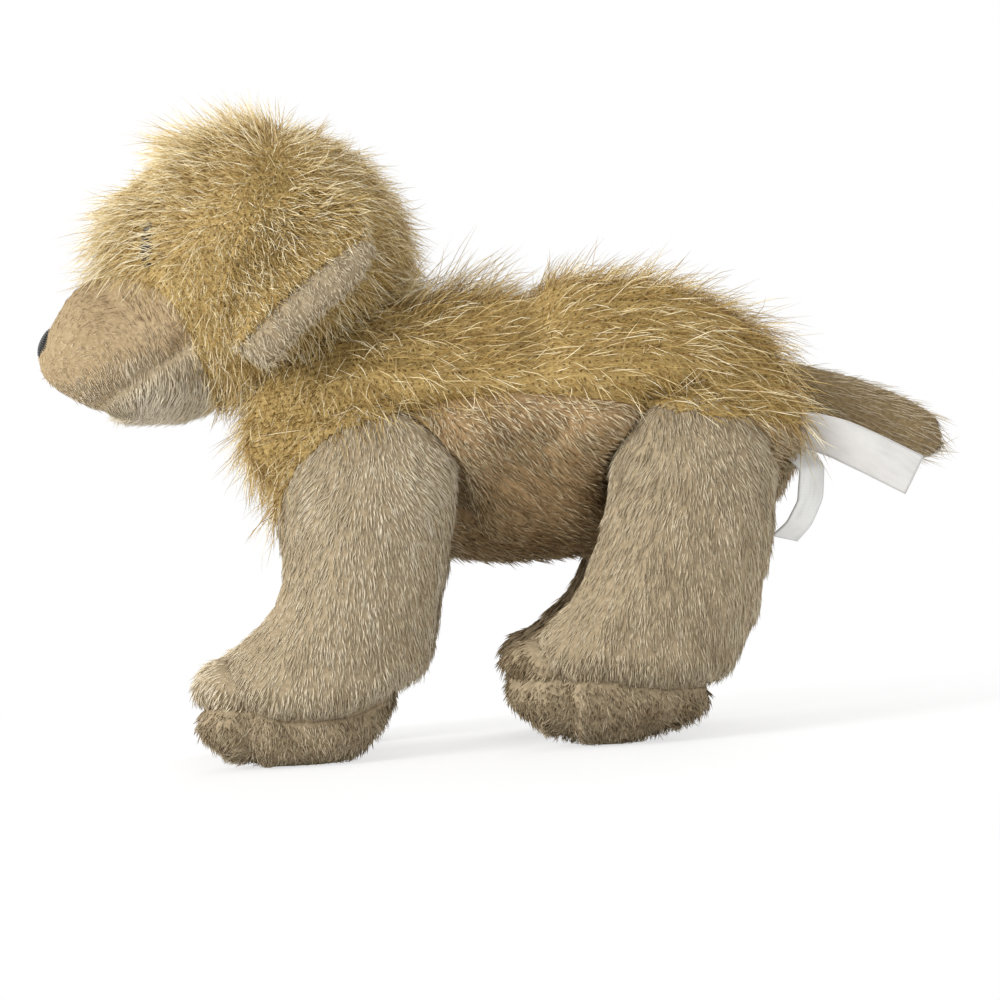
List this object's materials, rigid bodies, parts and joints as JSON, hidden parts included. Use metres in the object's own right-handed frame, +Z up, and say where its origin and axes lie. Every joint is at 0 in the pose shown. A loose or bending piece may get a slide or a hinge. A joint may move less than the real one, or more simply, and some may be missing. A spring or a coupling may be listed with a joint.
{
  "type": "plush dog",
  "caption": "Stuffed toy dog standing on all fours, with a shaggy golden back, head and ears and short-pile plush muzzle, legs and belly; sewn limbs flex at their seams.",
  "frame": {"origin": "on the floor, under the middle of the toy's bounding box", "axes": "+Z up, the toy faces -X, its left side is at -Y"},
  "size_m": [0.2395, 0.1022, 0.1666],
  "materials": {
    "shag": "long shiny pile",
    "plush": "short matt pile",
    "stuffing": "loose fibre",
    "thread": "twisted thread",
    "satin_stitch": "satin",
    "ribbon": "satin"
  },
  "bodies": {
    "torso": {"back_panel": "shag", "belly_panel": "plush", "torso_stuffing": "stuffing"},
    "neck": {"neck_gusset": "plush", "neck_seam_thread": "thread"},
    "head": {"head_cover": "shag", "head_stuffing": "stuffing", "muzzle_cover": "plush", "chin_panel": "plush", "muzzle_stuffing": "stuffing", "nose": "satin_stitch", "left_eye": "satin_stitch", "right_eye": "satin_stitch"},
    "left_ear": {"left_ear_back": "shag", "left_ear_lining": "plush"},
    "right_ear": {"right_ear_back": "shag", "right_ear_lining": "plush"},
    "left_front_leg": {"left_front_leg_outer": "plush", "left_front_leg_inner": "plush", "left_front_foot_sole": "plush", "left_front_leg_stuffing": "stuffing"},
    "right_front_leg": {"right_front_leg_outer": "plush", "right_front_leg_inner": "plush", "right_front_foot_sole": "plush", "right_front_leg_stuffing": "stuffing"},
    "left_rear_leg": {"left_rear_leg_outer": "plush", "left_rear_leg_inner": "plush", "left_rear_foot_sole": "plush", "left_rear_leg_stuffing": "stuffing"},
    "right_rear_leg": {"right_rear_leg_outer": "plush", "right_rear_leg_inner": "plush", "right_rear_foot_sole": "plush", "right_rear_leg_stuffing": "stuffing"},
    "tail": {"tail": "plush"},
    "name_label": {"name_label": "ribbon"},
    "care_label": {"care_label": "ribbon"}
  },
  "joints": [
    {"name": "head_turn", "type": "hinge", "parent": "torso", "child": "neck", "pos_m": [-0.028, 0, 0.082], "axis": [-0.5446, 0, 0.8387], "range_deg": [-30, 30], "stiffness_Nm_per_rad": 0.3},
    {"name": "head_nod", "type": "hinge", "parent": "neck", "child": "head", "pos_m": [-0.028, 0, 0.082], "axis": [0, 1, 0], "range_deg": [-12, 10], "stiffness_Nm_per_rad": 0.6, "springref_deg": 1.15},
    {"name": "left_ear_lift", "type": "hinge", "parent": "head", "child": "left_ear", "pos_m": [-0.042, -0.033, 0.145], "axis": [-0.9659, 0, 0.2588], "range_deg": [0, 75]},
    {"name": "right_ear_lift", "type": "hinge", "parent": "head", "child": "right_ear", "pos_m": [-0.042, 0.033, 0.145], "axis": [0.9659, 0, -0.2588], "range_deg": [0, 75]},
    {"name": "left_front_hip", "type": "hinge", "parent": "torso", "child": "left_front_leg", "pos_m": [-0.031, -0.0325, 0.068], "axis": [0, 1, 0], "range_deg": [-15, 25], "stiffness_Nm_per_rad": 0.4},
    {"name": "right_front_hip", "type": "hinge", "parent": "torso", "child": "right_front_leg", "pos_m": [-0.031, 0.0325, 0.068], "axis": [0, 1, 0], "range_deg": [-15, 25], "stiffness_Nm_per_rad": 0.4},
    {"name": "left_rear_hip", "type": "hinge", "parent": "torso", "child": "left_rear_leg", "pos_m": [0.0505, -0.0325, 0.0655], "axis": [0, 1, 0], "range_deg": [-25, 10], "stiffness_Nm_per_rad": 0.4},
    {"name": "right_rear_hip", "type": "hinge", "parent": "torso", "child": "right_rear_leg", "pos_m": [0.0505, 0.0325, 0.0655], "axis": [0, 1, 0], "range_deg": [-25, 10], "stiffness_Nm_per_rad": 0.4},
    {"name": "tail_wag", "type": "hinge", "parent": "torso", "child": "tail", "pos_m": [0.0785, 0, 0.091], "axis": [0, 0, 1], "range_deg": [-20, 20], "stiffness_Nm_per_rad": 0.05},
    {"name": "name_label_flap", "type": "hinge", "parent": "torso", "child": "name_label", "pos_m": [0.07455, -0.0204, 0.078], "axis": [-0.3584, 0, -0.9336], "range_deg": [0, 60], "stiffness_Nm_per_rad": 0.002},
    {"name": "care_label_flap", "type": "hinge", "parent": "torso", "child": "care_label", "pos_m": [0.07847, -0.01311, 0.071], "axis": [-0.6365, -0.7586, -0.1392], "range_deg": [0, 35], "stiffness_Nm_per_rad": 0.002}
  ]
}
